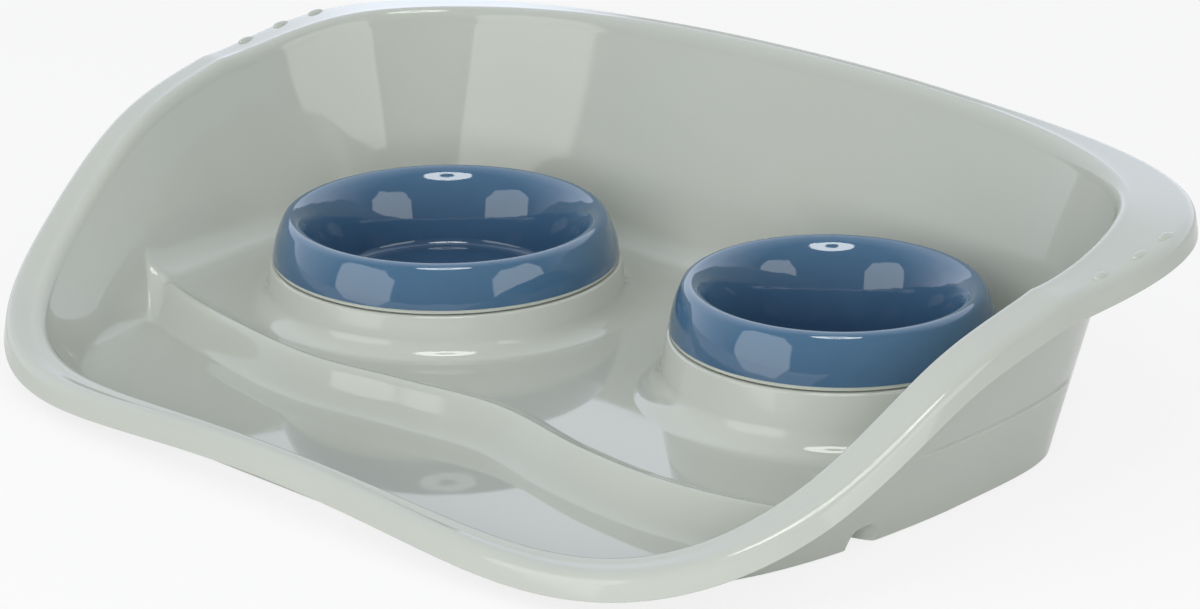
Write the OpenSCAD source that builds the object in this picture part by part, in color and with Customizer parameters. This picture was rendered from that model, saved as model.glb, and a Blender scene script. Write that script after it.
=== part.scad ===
// Double pet bowl: two glazed ceramic bowls that stand in a moulded tray.
// The tray's rim sweeps from a low front up to a high back that catches splashes.
// Origin: on the table, in the middle of the tray. The back is towards +Y.

/* [Tray rim] */
// Width of the mouth, inside the rim
mouth_w = 478; // [440:1:560]
// Depth of the mouth, inside the rim
mouth_d = 324; // [300:1:380]
// Height of the rim's inner edge at the middle of the back
back_h = 123; // [105:1:150]
// Height of the rim's inner edge at the middle of the front
front_h = 23; // [18:1:34]
// How much lower the rim is at the front corners than its rise along the depth gives
front_corner_dip = 17; // [10:1:22]
// How much lower the rim is at the back corners than its rise along the depth gives
back_corner_dip = 18; // [8:1:26]

/* [Flange] */
// Width of the flange at the middle of the front
flange_front = 8; // [7:0.5:14]
// Width of the flange along the sides
flange_side = 17; // [12:0.5:24]
// Width of the flange at the back corners
flange_corner = 30; // [20:0.5:36]
// Width of the flange at the middle of the back
flange_back = 9; // [7:0.5:16]
// Length of the rolled edge on each side of the rim's inner corner
roll = 5; // [3:0.5:6]
// Length of the rolled edge down the wall where the rim is highest
roll_high = 9; // [5:0.5:12]
// Height of the skirt that hangs from the flange
skirt_h = 11; // [8:0.5:14]
// How far the skirt's lower edge stands out
skirt_out = 2; // [1:0.5:4]

/* [Tray base] */
// Width of the standing edge
base_w = 418; // [390:1:450]
// Depth of the standing edge
base_d = 283; // [265:1:310]
// Wall thickness of the moulding
wall = 2.2; // [1.8:0.1:3]
// Height of the front floor's top
floor_h = 3.3; // [3:0.1:4.5]
// Height of the platform's top
platform_h = 18; // [14:0.5:22]
// Height of the standing edge above the table, which the rubber feet bridge
edge_gap = 0.5; // [0.3:0.1:0.8]
// Length of the blend between the front floor and the wall
front_blend = 6; // [4:0.5:9]
// Length of the blend between the platform and the wall
back_blend = 14; // [8:0.5:16]

/* [Step] */
// Height of the step's lip above the platform
lip_h = 2.6; // [1.5:0.1:4]
// Length of the lip's slope down to the platform
lip_back = 6; // [5:0.5:9]
// Length of the step's face at the left
step_run_left = 6; // [5:0.5:12]
// Length of the step's face at the right
step_run_right = 12; // [8:0.5:16]

/* [Left bowl] */
// Radius of the glazed band's lower edge
left_r = 80; // [70:0.5:84]
// Place of the left bowl, to the left of the middle
left_x = 90.4; // [84:0.2:100]
// Place of the left bowl, behind the middle
left_y = 22.1; // [18:0.1:30]
// Height of the left pedestal's top
left_top_h = 37.1; // [30:0.1:44]
// Height of the glazed band on the left bowl
left_band_h = 19; // [15:0.5:24]
// Thickness of the left bowl's bottom above its foot ring
left_bottom = 8; // [5:0.5:12]

/* [Right bowl] */
// Radius of the glazed band's lower edge
right_r = 70.5; // [60:0.5:74]
// Place of the right bowl, to the right of the middle
right_x = 117.3; // [110:0.1:124]
// Place of the right bowl, behind the middle
right_y = 49.2; // [40:0.1:56]
// Height of the right pedestal's top
right_top_h = 44.6; // [38:0.1:52]
// Height of the glazed band on the right bowl
right_band_h = 21; // [16:0.5:26]
// Thickness of the right bowl's bottom above its foot ring
right_bottom = 6; // [5:0.5:12]

/* [Bowl details] */
// Height of the floor of the wells that the bowls stand in
well_h = 12; // [8:0.5:13]
// Width of the gap round a bowl's body in its well
well_gap = 1.2; // [0.6:0.1:2]
// Height of the gap between a pedestal's top and the bare ring above it
ring_gap = 0.8; // [0.4:0.1:1.5]
// Height of the bare ring under the glazed band
ring_h = 1.6; // [1:0.1:3]
// How far a bowl's rim leans in from its lower edge to its crest
rim_lean = 7.3; // [5:0.1:9]
// Width of the rim's rolled top
rim_roll = 2.4; // [1.5:0.1:4]
// Height of a bowl's foot ring
foot_ring_h = 4; // [2:0.5:6]

/* [Feet] */
// Diameter of a rubber foot
foot_d = 14; // [10:0.5:18]

/* [Hidden] */

TRAY_COLOUR = [0.72, 0.74, 0.71];
GLAZE_COLOUR = [0.27, 0.40, 0.53];
RUBBER_COLOUR = [0.35, 0.36, 0.35];

// Powers of the outline's corners, tapers towards front and back, and the rise of the rim
mouth_front_power_shares = [5.14, 4.30];
mouth_back_power_shares = [3.97, 1.97];
base_back_power_shares = [5, 5];
front_taper_share = -0.111;
back_taper_share = 0.097;
rise_shares = [0, 0.33, 0.69, 0.82, 0.975, 1];
mouth_back_share = 0.436;
base_back_share = 0.406;

// Lean of the front wall, in degrees from upright
front_lean = 16;

// The mouth is placed so that the flanges end as far in front of the origin as behind it
mouth_y = (flange_front - flange_back) / 2;
mouth_front_y = mouth_y - mouth_d / 2;
mouth_mid_y = mouth_front_y + mouth_d * (1 - mouth_back_share);
base_front_y = mouth_front_y + front_h * tan(front_lean);
base_mid_y = base_front_y + base_d * (1 - base_back_share);

// Stations round the tray: closer at the corners and where the step meets the walls
station_count = 88;
corner_crowding = 6;
step_window = 40;

// Flange widths change between these angles from the right-hand side; the flange slopes outwards
side_from = -20;
corner_at = 36;
back_from = 72;
flange_drop_share = 0.13;
edge_round = 4;
roll_depth_share = 0.38;

// The step's crest, from wall to wall: x in half base widths, y in base depths
crest_shares = [[-1.12, -0.145], [-0.89, -0.215], [-0.62, -0.258], [-0.36, -0.2785],
                [-0.115, -0.2525], [0.13, -0.2305], [0.41, -0.2685], [0.64, -0.2765],
                [0.87, -0.2425], [1.12, -0.165]];
crest_round = 1.6;
foot_round = 4;
back_round = 2.4;
step_stations = 36;
step_reach_share = 0.56;

// Pedestals and wells
pedestal_wall = 1.8;
pedestal_draft_share = 0.07;
pedestal_round = 1.4;
left_fillet = 9.5;
right_fillet = 12.5;
well_round = 6;

// Bowls: the unglazed ring is set in under the band, and the inside narrows to a flat floor
shoulder = 4;
ring_inset = 0.5;
inner_drop_share = 0.12;
foot_share = 0.66;
foot_ring_w = 5;
bowl_floor_share = 0.62;

// Bead on the outside of each side wall, grip ribs on the back corners, dents behind the step
bead_h = 37;
bead_w = 2.4;
bead_out = 0.9;
bead_from_y = -24;
bead_to_y = 86;
bead_fade = 12;
rib_places = [47, 68, 86];
rib_length = 11;
rib_w = 4.2;
rib_out = 1.1;
dent_y = -39.5;
dent_w = 17;
dent_h = 11;
dent_depth = 11;
dent_power = 4;
dent_row_shares = [1.1, 0.85, 0.6, 0.3];
dent_under_shares = [0.5, 0.7, 0.9];

// Feet and the corner lugs that carry the rear ones
front_foot_inset_x = 59;
front_foot_inset_y = 38;
back_foot_inset_x = 23.5;
back_foot_inset_y = 29;
front_foot_x = base_w / 2 - front_foot_inset_x;
front_foot_y = base_front_y + front_foot_inset_y;
back_foot_x = base_w / 2 - back_foot_inset_x;
back_foot_y = base_front_y + base_d - back_foot_inset_y;
lug_margin = 3;

// Overlap where blends run into the floors, overrun of cuts, distance that slopes are taken over
dip = 0.3;
cut = 1;
nudge = 1;
curve_steps = 4;

// Small helpers
function mix(a, b, t) = a + (b - a) * t;
function limit(v, lo, hi) = max(lo, min(hi, v));
function ease(t) = (1 - cos(180 * limit(t, 0, 1))) / 2;
function unit(v) = v / norm(v);
function bend(a, b, c, t) = mix(mix(a, b, t), mix(b, c, t), t);
function bend_points(a, b, c, steps) = [for (i = [0 : steps]) bend(a, b, c, i / steps)];
// Height of a ramp that starts at v = 0 and is rounded over r on both sides
function ramp(v, r) = v < -r ? 0 : v > r ? v : pow(v + r, 2) / (4 * r);
// Smooth curve through equally spaced values
function spline(p, t) =
    let (n = len(p) - 1, u = limit(t, 0, 1) * n, i = min(floor(u), n - 1), f = u - i,
         p0 = i > 0 ? p[i - 1] : 2 * p[0] - p[1], p3 = i < n - 1 ? p[i + 2] : 2 * p[n] - p[n - 1])
    p[i] + f * (p[i + 1] - p0) / 2 + f * f * (2 * p0 - 5 * p[i] + 4 * p[i + 1] - p3) / 2
    + f * f * f * (3 * p[i] - p0 - 3 * p[i + 1] + p3) / 2;

// Rounded rectangle of unit size at a station's angle
function squircle(a, power) =
    let (m = 1 / sqrt(pow(abs(cos(a)), power.x) + pow(abs(sin(a)), power.y)))
    [cos(a) * pow(m, 2 / power.x), sin(a) * pow(m, 2 / power.y)];
function outline(a, half_w, front_d, back_d, mid_y, back_power, back_taper) =
    let (back = sin(a) >= 0,
         u = squircle(a, back ? back_power : mouth_front_power_shares),
         taper = 1 + (back ? back_taper : front_taper_share) * pow(abs(u.y), 1.5))
    [half_w * u.x * taper, mid_y + (back ? back_d : front_d) * u.y, u.x];

// Inner edge of the rim
function rim_point(a) =
    let (o = outline(a, mouth_w / 2, mouth_d * (1 - mouth_back_share), mouth_d * mouth_back_share,
                     mouth_mid_y, mouth_back_power_shares, back_taper_share),
         rise = spline(rise_shares, (o.y - mouth_front_y) / mouth_d),
         side = pow(o.z, 2) * abs(squircle(a, sin(a) >= 0 ? mouth_back_power_shares
                                                           : mouth_front_power_shares).y),
         corner_dip = sin(a) >= 0 ? back_corner_dip : front_corner_dip)
    [o.x, o.y, mix(front_h, back_h, rise) - corner_dip * side];
// Outer edge of the base on the table
function base_point(a) =
    let (o = outline(a, base_w / 2, base_d * (1 - base_back_share), base_d * base_back_share,
                     base_mid_y, base_back_power_shares, 0))
    [o.x, o.y, 0];
function out_dir(a) =
    let (d = rim_point(a + 1) - rim_point(a - 1))
    unit([d.y, -d.x, 0]);
// The inside of the wall runs straight from the base to the rim
function wall_foot(a) = base_point(a) - wall * out_dir(a);
function wall_point(a, z) = mix(wall_foot(a), rim_point(a), z / rim_point(a).z);

// Each side wall is dented inwards just above the table, behind the step
function on_side(p) = abs(p.x) > base_w / 4;
function dent(a, z) =
    let (p = base_point(a), across = abs(p.y - dent_y) * 2 / dent_w,
         away = pow(pow(across, dent_power) + pow(z / dent_h, dent_power), 1 / dent_power))
    on_side(p) ? dent_depth * ease(1 - away) : 0;

// Angle from the right-hand side, the same for left and right
function folded(a) = let (b = (a + 450) % 360) b <= 180 ? b - 90 : 270 - b;
function flange_w(a) =
    let (f = folded(a))
    f < 0 ? mix(flange_front, flange_side, ease((f + 90) / (90 + side_from)))
    : f < corner_at ? mix(flange_side, flange_corner, ease(f / corner_at))
    : mix(flange_corner, flange_back, ease((f - corner_at) / (back_from - corner_at)));

// The step between front floor and platform
function crest_y(x) =
    let (half = base_w / 2, n = len(crest_shares) - 1,
         k = len([for (i = [1 : n - 1]) if (crest_shares[i].x * half <= x) 1]),
         a = crest_shares[max(k - 1, 0)], b = crest_shares[k], c = crest_shares[k + 1],
         d = crest_shares[min(k + 2, n)], f = (x / half - b.x) / (c.x - b.x),
         sb = (c.y - a.y) / (c.x - a.x) * (c.x - b.x), sc = (d.y - b.y) / (d.x - b.x) * (c.x - b.x))
    base_d * (b.y + f * sb + f * f * (3 * (c.y - b.y) - 2 * sb - sc)
              + f * f * f * (sb + sc - 2 * (c.y - b.y)));
function crest_cos(x) = 1 / sqrt(1 + pow((crest_y(x + nudge) - crest_y(x - nudge)) / (2 * nudge), 2));
function step_run(x) = mix(step_run_left, step_run_right, limit(0.5 + x / base_w, 0, 1));
// Height of the floor at a distance s behind the crest
function step_height(s, run) =
    let (crest = platform_h + lip_h, up = (crest - floor_h) / run, down = lip_h / lip_back)
    floor_h + up * ramp(s + run, foot_round) - (up + down) * ramp(s, crest_round)
    + down * ramp(s - lip_back, back_round);
function floor_at(x, y) = step_height((y - crest_y(x)) * crest_cos(x), step_run(x));

// One section of the tray's wall, from the floor over the rim and down to the standing edge
function section(a) =
    let (n = out_dir(a), rim = rim_point(a), foot = wall_foot(a), up = [0, 0, 1],
         corner = wall_point(a, floor_at(foot.x, foot.y)),
         level = limit((corner.z - floor_h) / (platform_h - floor_h), 0, 1),
         blend = mix(front_blend, back_blend, level), lean = unit(rim - foot),
         start = corner - n * blend, tongue = start - n * wall * 1.7,
         start_z = floor_at(start.x, start.y) - dip / 3,
         tongue_z = floor_at(tongue.x, tongue.y) - dip * 2,
         // The step's hollow is closed where it meets the wall
         plug = abs(foot.y - crest_y(foot.x)) < step_run(foot.x) + foot_round + lip_back,
         start_under = plug ? floor_h - wall : start_z - wall,
         tongue_under = plug ? floor_h - wall : tongue_z - wall,
         w = flange_w(a), slope = unit(n - flange_drop_share * up),
         wall_roll = mix(roll, roll_high, (rim.z - front_h) / (back_h - front_h)),
         roll_corner = rim + unit(lean - slope) * roll * roll_depth_share,
         edge = rim + n * w - up * w * flange_drop_share + unit(n + up) * edge_round * 0.25,
         hang = unit(n * skirt_out - up * skirt_h),
         out_top = rim + n * wall - up * wall * 1.6, out_foot = base_point(a) + up * edge_gap,
         bead_z = min(bead_h, out_top.z * 0.6), deep = dent(a, edge_gap),
         under_h = min(corner.z - wall * 0.3, dent_h + wall),
         fade = min(ease((base_point(a).y - bead_from_y) / bead_fade),
                    ease((bead_to_y - base_point(a).y) / bead_fade)))
    concat(
        [[tongue.x, tongue.y, tongue_z]],
        bend_points([start.x, start.y, start_z], corner, corner + lean * blend, curve_steps + 1),
        bend_points(rim - lean * wall_roll, roll_corner, rim + slope * roll, curve_steps),
        bend_points(edge - slope * edge_round, edge, edge + hang * edge_round, curve_steps - 1),
        [edge + hang * skirt_h, edge + hang * skirt_h - n * wall,
         edge - (n + up) * wall * 1.1, out_top],
        [for (k = [-1 : 1])
            mix(out_foot, out_top, (bead_z - k * bead_w / 2) / out_top.z)
            + n * (k == 0 ? bead_out * fade : 0)],
        [for (share = dent_row_shares)
            mix(out_foot, out_top, dent_h * share / out_top.z) - n * dent(a, dent_h * share)],
        [out_foot - n * deep, foot + up * edge_gap - n * deep],
        [for (share = dent_under_shares)
            plug ? wall_point(a, mix(edge_gap, floor_h - wall, share)) - n * deep
            : wall_point(a, share * under_h) - n * dent(a, share * dent_h - wall)],
        [plug ? wall_point(a, floor_h - wall) - n * deep : corner - up * wall * 0.3,
         [start.x, start.y, start_under], [tongue.x, tongue.y, tongue_under]]);

function warped(t) = t + corner_crowding * sin(4 * t);
function crowding(t) =
    let (p = base_point(warped(t)), away = abs(p.y - dent_y))
    !on_side(p) || away > step_window ? 1 : away > dent_w ? 3 : 5;
// Clockwise, so that the lofted faces point outwards
stations = [for (i = [0 : station_count - 1])
                let (step = -360 / station_count, n = crowding((i + 0.5) * step))
                for (k = [0 : n - 1]) warped((i + k / n) * step)];

// Closed ring or open run of sections, with triangles that face outwards
module loft(sections, closed) {
    rows = len(sections);
    m = len(sections[0]);
    last = closed ? rows - 1 : rows - 2;
    sides = [for (i = [0 : last], j = [0 : m - 1])
                let (a = i * m + j, b = i * m + (j + 1) % m,
                     c = ((i + 1) % rows) * m + (j + 1) % m, d = ((i + 1) % rows) * m + j)
                each [[a, b, c], [a, c, d]]];
    ends = closed ? [] : [[for (j = [m - 1 : -1 : 0]) j], [for (j = [0 : m - 1]) (rows - 1) * m + j]];
    polyhedron(points = [for (s = sections) each s], faces = concat(sides, ends));
}

// Space between the middles of the walls, which trims the floors and the step
module cavity() {
    high = platform_h + lip_h + back_blend;
    loft([for (z = [-cut, high]) [for (a = stations)
              let (p = wall_point(a, z) + out_dir(a) * wall / 2) [p.x, p.y, z]]], false);
}

step_xs = [for (i = [0 : step_stations]) mix(-1, 1, i / step_stations) * base_w * step_reach_share];

// Section of the step at x, from its foot to behind its lip and back underneath
function step_section(x) =
    let (run = step_run(x), y = crest_y(x), k = crest_cos(x), crest = platform_h + lip_h,
         up = foot_round / 2,
         top = [-run - up, -run - up / 2, -run, -run + up, -crest_round, -crest_round / 2, 0,
                crest_round / 2, crest_round, lip_back - back_round / 2, lip_back + back_round / 2],
         start = -run - foot_round - wall, end = lip_back + back_round + wall,
         under = [[end, platform_h - wall], [lip_back, platform_h - wall],
                  [wall * 0.3, crest - wall * 1.6], [wall * 0.8 - run, floor_h - wall],
                  [start, floor_h - wall]])
    [for (p = concat([[start, floor_h - dip]], [for (s = top) [s, step_height(s, run)]],
                     [[end, platform_h - dip]], under)) [x, y + p.x / k, p.y]];

module step_shell() {
    loft([for (x = step_xs) step_section(x)], false);
}

// Flat floors: in front of the step's foot and behind its lip
module front_floor() {
    translate([0, 0, floor_h - wall]) linear_extrude(wall) polygon(concat(
        [for (x = step_xs) [x, crest_y(x) - (step_run(x) + foot_round / 2) / crest_cos(x)]],
        [[base_w, -mouth_d], [-base_w, -mouth_d]]));
}

module platform() {
    translate([0, 0, platform_h - wall]) linear_extrude(wall) polygon(concat(
        [for (x = step_xs) [x, crest_y(x) + lip_back / crest_cos(x)]],
        [[base_w, mouth_d], [-base_w, mouth_d]]));
}

function arc(c, r, from, to, steps) =
    [for (i = [0 : steps]) let (a = mix(from, to, i / steps)) c + r * [cos(a), sin(a)]];

function pedestal_r(band_r) = band_r + shoulder * 0.3;
function well_r(band_r) = pedestal_r(band_r) - pedestal_wall - pedestal_round;

// Pedestal with its well, turned about the bowl's axis
module pedestal(band_r, top_h, fillet) {
    r = pedestal_r(band_r);
    foot_r = r + (top_h - platform_h) * pedestal_draft_share;
    w = well_r(band_r);
    rotate_extrude($fn = 96) polygon(concat(
        [[0, well_h - wall], [w + wall, well_h - wall], [w + wall, platform_h - wall],
         [foot_r + fillet + wall, platform_h - wall], [foot_r + fillet + wall, platform_h - dip]],
        [for (p = arc([foot_r + fillet, platform_h + fillet], fillet, -97, -180, 7)) p],
        arc([r - pedestal_round, top_h - pedestal_round], pedestal_round, 0, 90, 4),
        [[w + pedestal_round / 2, top_h]],
        [[w, top_h - pedestal_round / 2]],
        arc([w - well_round, well_h + well_round], well_round, 0, -90, 5),
        [[0, well_h]]));
}

module at_left() { translate([-left_x, left_y, 0]) children(); }
module at_right() { translate([right_x, right_y, 0]) children(); }

// Everything inside a well, so that floors and blends don't reach into it
module well_cut(band_r, top_h) {
    translate([0, 0, well_h - wall / 2])
        cylinder(r = well_r(band_r) + pedestal_wall / 2, h = top_h + back_h, $fn = 96);
}

// Grip ribs on the flange, alike on both sides
module grip_ribs() {
    for (side = [-1, 1], y = rib_places)
        translate(flange_place(y, side))
            scale([rib_w / 2, rib_length / 2, rib_out * 2]) sphere(r = 1, $fn = 16);
}

// Place on the flange near its outer edge, at a distance y behind the origin
function flange_station(y, a = 0) = rim_point(a).y >= y ? a : flange_station(y, a + 0.25);
function flange_place(y, side) =
    let (a = flange_station(y), w = flange_w(a) - edge_round * 1.1,
         p = rim_point(a) + out_dir(a) * w - [0, 0, w * flange_drop_share])
    [side * p.x, p.y, p.z];

foot_h = floor_h - wall;

// Lug in a back corner of the standing edge, which a rubber foot is stuck to
module lug(side) {
    translate([side * back_foot_x, back_foot_y, foot_h])
        cylinder(d = foot_d + 2 * lug_margin, h = wall, $fn = 48);
}

module tray() {
    color(TRAY_COLOUR) {
        difference() {
            union() {
                loft([for (a = stations) section(a)], true);
                intersection() {
                    cavity();
                    union() {
                        front_floor();
                        platform();
                        step_shell();
                        for (side = [-1, 1]) lug(side);
                    }
                }
            }
            at_left() well_cut(left_r, left_top_h);
            at_right() well_cut(right_r, right_top_h);
        }
        at_left() pedestal(left_r, left_top_h, left_fillet);
        at_right() pedestal(right_r, right_top_h, right_fillet);
        grip_ribs();
    }
}

// Bowl, turned about its own axis: foot ring, body, bare ring, glazed band, rolled rim, inside
module bowl(band_r, top_h, band_h, bottom) {
    body_r = well_r(band_r) - well_gap;
    ring_z = top_h + ring_gap;
    edge_z = ring_z + ring_h;
    rim_z = edge_z + band_h;
    crest_r = band_r - rim_lean;
    mouth_r = crest_r - rim_roll;
    mouth_z = rim_z - band_h * inner_drop_share;
    foot_r = band_r * foot_share;
    floor_z = well_h + foot_ring_h + bottom;
    floor_r = band_r * bowl_floor_share;
    rotate_extrude($fn = 96) polygon(concat(
        [[0, well_h + foot_ring_h], [foot_r - foot_ring_w - foot_ring_h / 2, well_h + foot_ring_h],
         [foot_r - foot_ring_w, well_h], [foot_r, well_h],
         [foot_r + foot_ring_h / 2, well_h + foot_ring_h]],
        bend_points([foot_r + foot_ring_h, well_h + foot_ring_h * 1.2],
                    [body_r, well_h + foot_ring_h * 1.4], [body_r, mix(well_h, ring_z, 0.7)], 6),
        [[body_r, ring_z], [band_r - ring_inset, ring_z], [band_r - ring_inset, edge_z]],
        bend_points([band_r, edge_z], [band_r - rim_lean * 0.12, rim_z - band_h * 0.02],
                    [crest_r, rim_z], 8),
        bend_points([crest_r - rim_roll * 0.3, rim_z], [mouth_r + rim_roll * 0.1, rim_z],
                    [mouth_r, mouth_z], 3),
        bend_points([mix(mouth_r, floor_r, 0.12), mix(mouth_z, floor_z, 0.42)],
                    [mix(mouth_r, floor_r, 0.3), floor_z], [floor_r, floor_z], 8),
        [[0, floor_z]]));
}

module left_bowl() {
    color(GLAZE_COLOUR) at_left() bowl(left_r, left_top_h, left_band_h, left_bottom);
}

module right_bowl() {
    color(GLAZE_COLOUR) at_right() bowl(right_r, right_top_h, right_band_h, right_bottom);
}

module foot(x, y) {
    color(RUBBER_COLOUR) translate([x, y, 0]) cylinder(d = foot_d, h = foot_h, $fn = 48);
}

module foot_front_left() { foot(-front_foot_x, front_foot_y); }
module foot_front_right() { foot(front_foot_x, front_foot_y); }
module foot_back_left() { foot(-back_foot_x, back_foot_y); }
module foot_back_right() { foot(back_foot_x, back_foot_y); }

tray();
left_bowl();
right_bowl();
foot_front_left();
foot_front_right();
foot_back_left();
foot_back_right();
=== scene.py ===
# %% [markdown]
# # Double pet bowl
# Two glazed ceramic bowls stand in a tray moulded from one piece of glossy plastic. The measured solids are loaded
# first. They fix every size and place, and they are never moved. The visible pieces are then modelled again with
# many more points, because gloss shows each facet, and each gets the finish of the real one.

# %% Load the measured solids
import math

import bmesh
import bpy
from mathutils import Matrix, Vector
from mathutils.geometry import delaunay_2d_cdt


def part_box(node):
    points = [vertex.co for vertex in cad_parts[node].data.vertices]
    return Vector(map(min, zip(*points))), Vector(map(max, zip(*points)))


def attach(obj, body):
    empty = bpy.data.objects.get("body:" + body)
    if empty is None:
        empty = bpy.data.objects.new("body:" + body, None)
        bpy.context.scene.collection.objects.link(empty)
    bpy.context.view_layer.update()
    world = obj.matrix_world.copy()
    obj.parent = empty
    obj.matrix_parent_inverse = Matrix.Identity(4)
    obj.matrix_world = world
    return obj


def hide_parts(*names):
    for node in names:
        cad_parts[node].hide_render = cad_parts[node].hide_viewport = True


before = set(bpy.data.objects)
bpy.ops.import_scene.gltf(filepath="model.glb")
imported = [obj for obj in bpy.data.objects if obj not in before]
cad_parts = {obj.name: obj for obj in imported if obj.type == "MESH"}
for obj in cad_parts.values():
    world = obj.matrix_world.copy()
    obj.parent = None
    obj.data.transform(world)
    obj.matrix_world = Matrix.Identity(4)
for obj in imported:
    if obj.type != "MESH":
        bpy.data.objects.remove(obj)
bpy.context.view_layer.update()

# %% [markdown]
# ## Small helpers
# Sizes are written in millimetres, as on the drawing of the tray, and turned to metres when a mesh gets its points.
# Angles are in degrees and run round the tray from its right-hand side, anticlockwise seen from above.

# %% Numbers between other numbers
MM = 0.001
UP = Vector((0, 0, 1))


def mix(a, b, t):
    return a + (b - a) * t


def limit(value, low, high):
    return max(low, min(high, value))


def ease(t):
    """From 0 to 1 with a level start and end."""
    return (1 - math.cos(math.pi * limit(t, 0, 1))) / 2


def curve(a, b, c, steps):
    """Points of a curve from a to c that leaves towards b."""
    return [mix(mix(a, b, k / steps), mix(b, c, k / steps), k / steps) for k in range(steps + 1)]


def straight(a, b, steps):
    """Points between a and b, without either."""
    return [mix(a, b, k / steps) for k in range(1, steps)]


# %% Open a piece for editing
def clear_selection():
    bpy.ops.object.select_all(action="DESELECT")


def edit(piece):
    """Opens a piece for editing, with all of it selected."""
    clear_selection()
    bpy.context.view_layer.objects.active = piece
    piece.select_set(True)
    bpy.ops.object.mode_set(mode="EDIT")
    bpy.ops.mesh.select_all(action="SELECT")


# %% Close, combine and smooth a piece
def close_seams(piece, gap=0.004):
    """Merges points that lie on each other, and turns all faces outwards."""
    edit(piece)
    bpy.ops.mesh.remove_doubles(threshold=gap * MM)
    bpy.ops.mesh.dissolve_degenerate(threshold=gap * MM / 4)
    bpy.ops.mesh.select_all(action="SELECT")
    bpy.ops.mesh.normals_make_consistent(inside=False)
    bpy.ops.object.mode_set(mode="OBJECT")


def combine(piece, other, how):
    """Joins another solid to a piece or cuts it out, and removes that solid."""
    clear_selection()
    bpy.context.view_layer.objects.active = piece
    step = piece.modifiers.new(how.lower(), "BOOLEAN")
    step.operation = how
    step.solver = "MANIFOLD"
    step.object = other
    bpy.ops.object.modifier_apply(modifier=step.name)
    bpy.data.objects.remove(other)


def smooth(piece, crease=32):
    """Smooth shading that keeps creases, with large faces leading, so that flat floors mirror flatly."""
    clear_selection()
    bpy.context.view_layer.objects.active = piece
    piece.select_set(True)
    bpy.ops.object.shade_smooth_by_angle(angle=math.radians(crease))
    step = piece.modifiers.new("weights", "WEIGHTED_NORMAL")
    step.keep_sharp = True
    bpy.ops.object.modifier_apply(modifier=step.name)


# %% [markdown]
# ## Outline of the tray
# Seen from above, the rim is a rounded rectangle whose corners are soft at the back and tighter at the front. The
# standing edge on the table is a smaller one. Both come from one formula with a power for each axis: the higher the
# power, the squarer the corner. Between the two outlines the wall runs straight.

# %% Sizes of the rim and of the standing edge
mouth_w = 478
mouth_d = 324
base_w = 418
base_d = 283
back_h = 123
front_h = 23
front_corner_dip = 17
back_corner_dip = 18
front_lean = 16
wall = 2.2

mouth_front_powers = (5.14, 4.30)
mouth_back_powers = (3.97, 1.97)
base_back_powers = (5, 5)
front_taper = -0.111
back_taper = 0.097
taper_power = 1.5
rim_rise = (0, 0.33, 0.69, 0.82, 0.975, 1)
mouth_back_share = 0.436
base_back_share = 0.406

flange_front = 8
flange_side = 17
flange_corner = 30
flange_back = 9

mouth_front_y = (flange_front - flange_back) / 2 - mouth_d / 2
mouth_mid_y = mouth_front_y + mouth_d * (1 - mouth_back_share)
base_front_y = mouth_front_y + front_h * math.tan(math.radians(front_lean))
base_mid_y = base_front_y + base_d * (1 - base_back_share)


# %% Smooth curves and rounded rectangles
def spline(values, t):
    """A smooth curve through equally spaced values."""
    last = len(values) - 1
    place = limit(t, 0, 1) * last
    i = min(int(place), last - 1)
    f = place - i
    b, c = values[i], values[i + 1]
    a = values[i - 1] if i > 0 else 2 * b - c
    d = values[i + 2] if i < last - 1 else 2 * c - b
    return (b + f * (c - a) / 2 + f * f * (2 * a - 5 * b + 4 * c - d) / 2
            + f**3 * (3 * b - a - 3 * c + d) / 2)


def squircle(angle, powers):
    """A point of a rounded rectangle of unit size."""
    x, y = math.cos(math.radians(angle)), math.sin(math.radians(angle))
    m = (abs(x) ** powers[0] + abs(y) ** powers[1]) ** -0.5
    return x * m ** (2 / powers[0]), y * m ** (2 / powers[1])


# %% Points of the rim and of the standing edge
def outline(angle, half_w, front_d, back_d, mid_y, back_powers, tapers):
    """A point of an outline, and the same point of one of unit size."""
    at_back = math.sin(math.radians(angle)) >= 0
    x, y = squircle(angle, back_powers if at_back else mouth_front_powers)
    taper = 1 + (tapers[1] if at_back else tapers[0]) * abs(y) ** taper_power
    return half_w * x * taper, mid_y + (back_d if at_back else front_d) * y, x, y


def rim_point(angle):
    """Inner edge of the rim."""
    x, y, u, v = outline(angle, mouth_w / 2, mouth_d * (1 - mouth_back_share), mouth_d * mouth_back_share,
                         mouth_mid_y, mouth_back_powers, (front_taper, back_taper))
    dip = back_corner_dip if v >= 0 else front_corner_dip
    rise = spline(rim_rise, (y - mouth_front_y) / mouth_d)
    return Vector((x, y, mix(front_h, back_h, rise) - dip * u * u * abs(v)))


def base_point(angle):
    """Outer edge of the wall on the table."""
    x, y, _, _ = outline(angle, base_w / 2, base_d * (1 - base_back_share), base_d * base_back_share,
                         base_mid_y, base_back_powers, (front_taper, 0))
    return Vector((x, y, 0))


# %% Points of the wall between them
def outwards(angle):
    """Level direction out of the tray, square to the rim."""
    along = rim_point(angle + 1) - rim_point(angle - 1)
    return Vector((along.y, -along.x, 0)).normalized()


def wall_foot(angle):
    return base_point(angle) - outwards(angle) * wall


def on_wall(angle, height):
    """Point of the wall's inside at a height."""
    rim = rim_point(angle)
    return mix(wall_foot(angle), rim, height / rim.z)


print("rim, front to back, in mm:", round(rim_point(-90).z), "to", round(rim_point(90).z))

# %% [markdown]
# ## Floors and step
# The front floor lies low, so that spilt water gathers there. A step with a small raised lip leads up to the
# platform. Its crest bends round the bowls. The height of the floor anywhere depends only on the distance from the
# crest, so one function gives both floors, the step's face, its soft foot and its lip.

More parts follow.
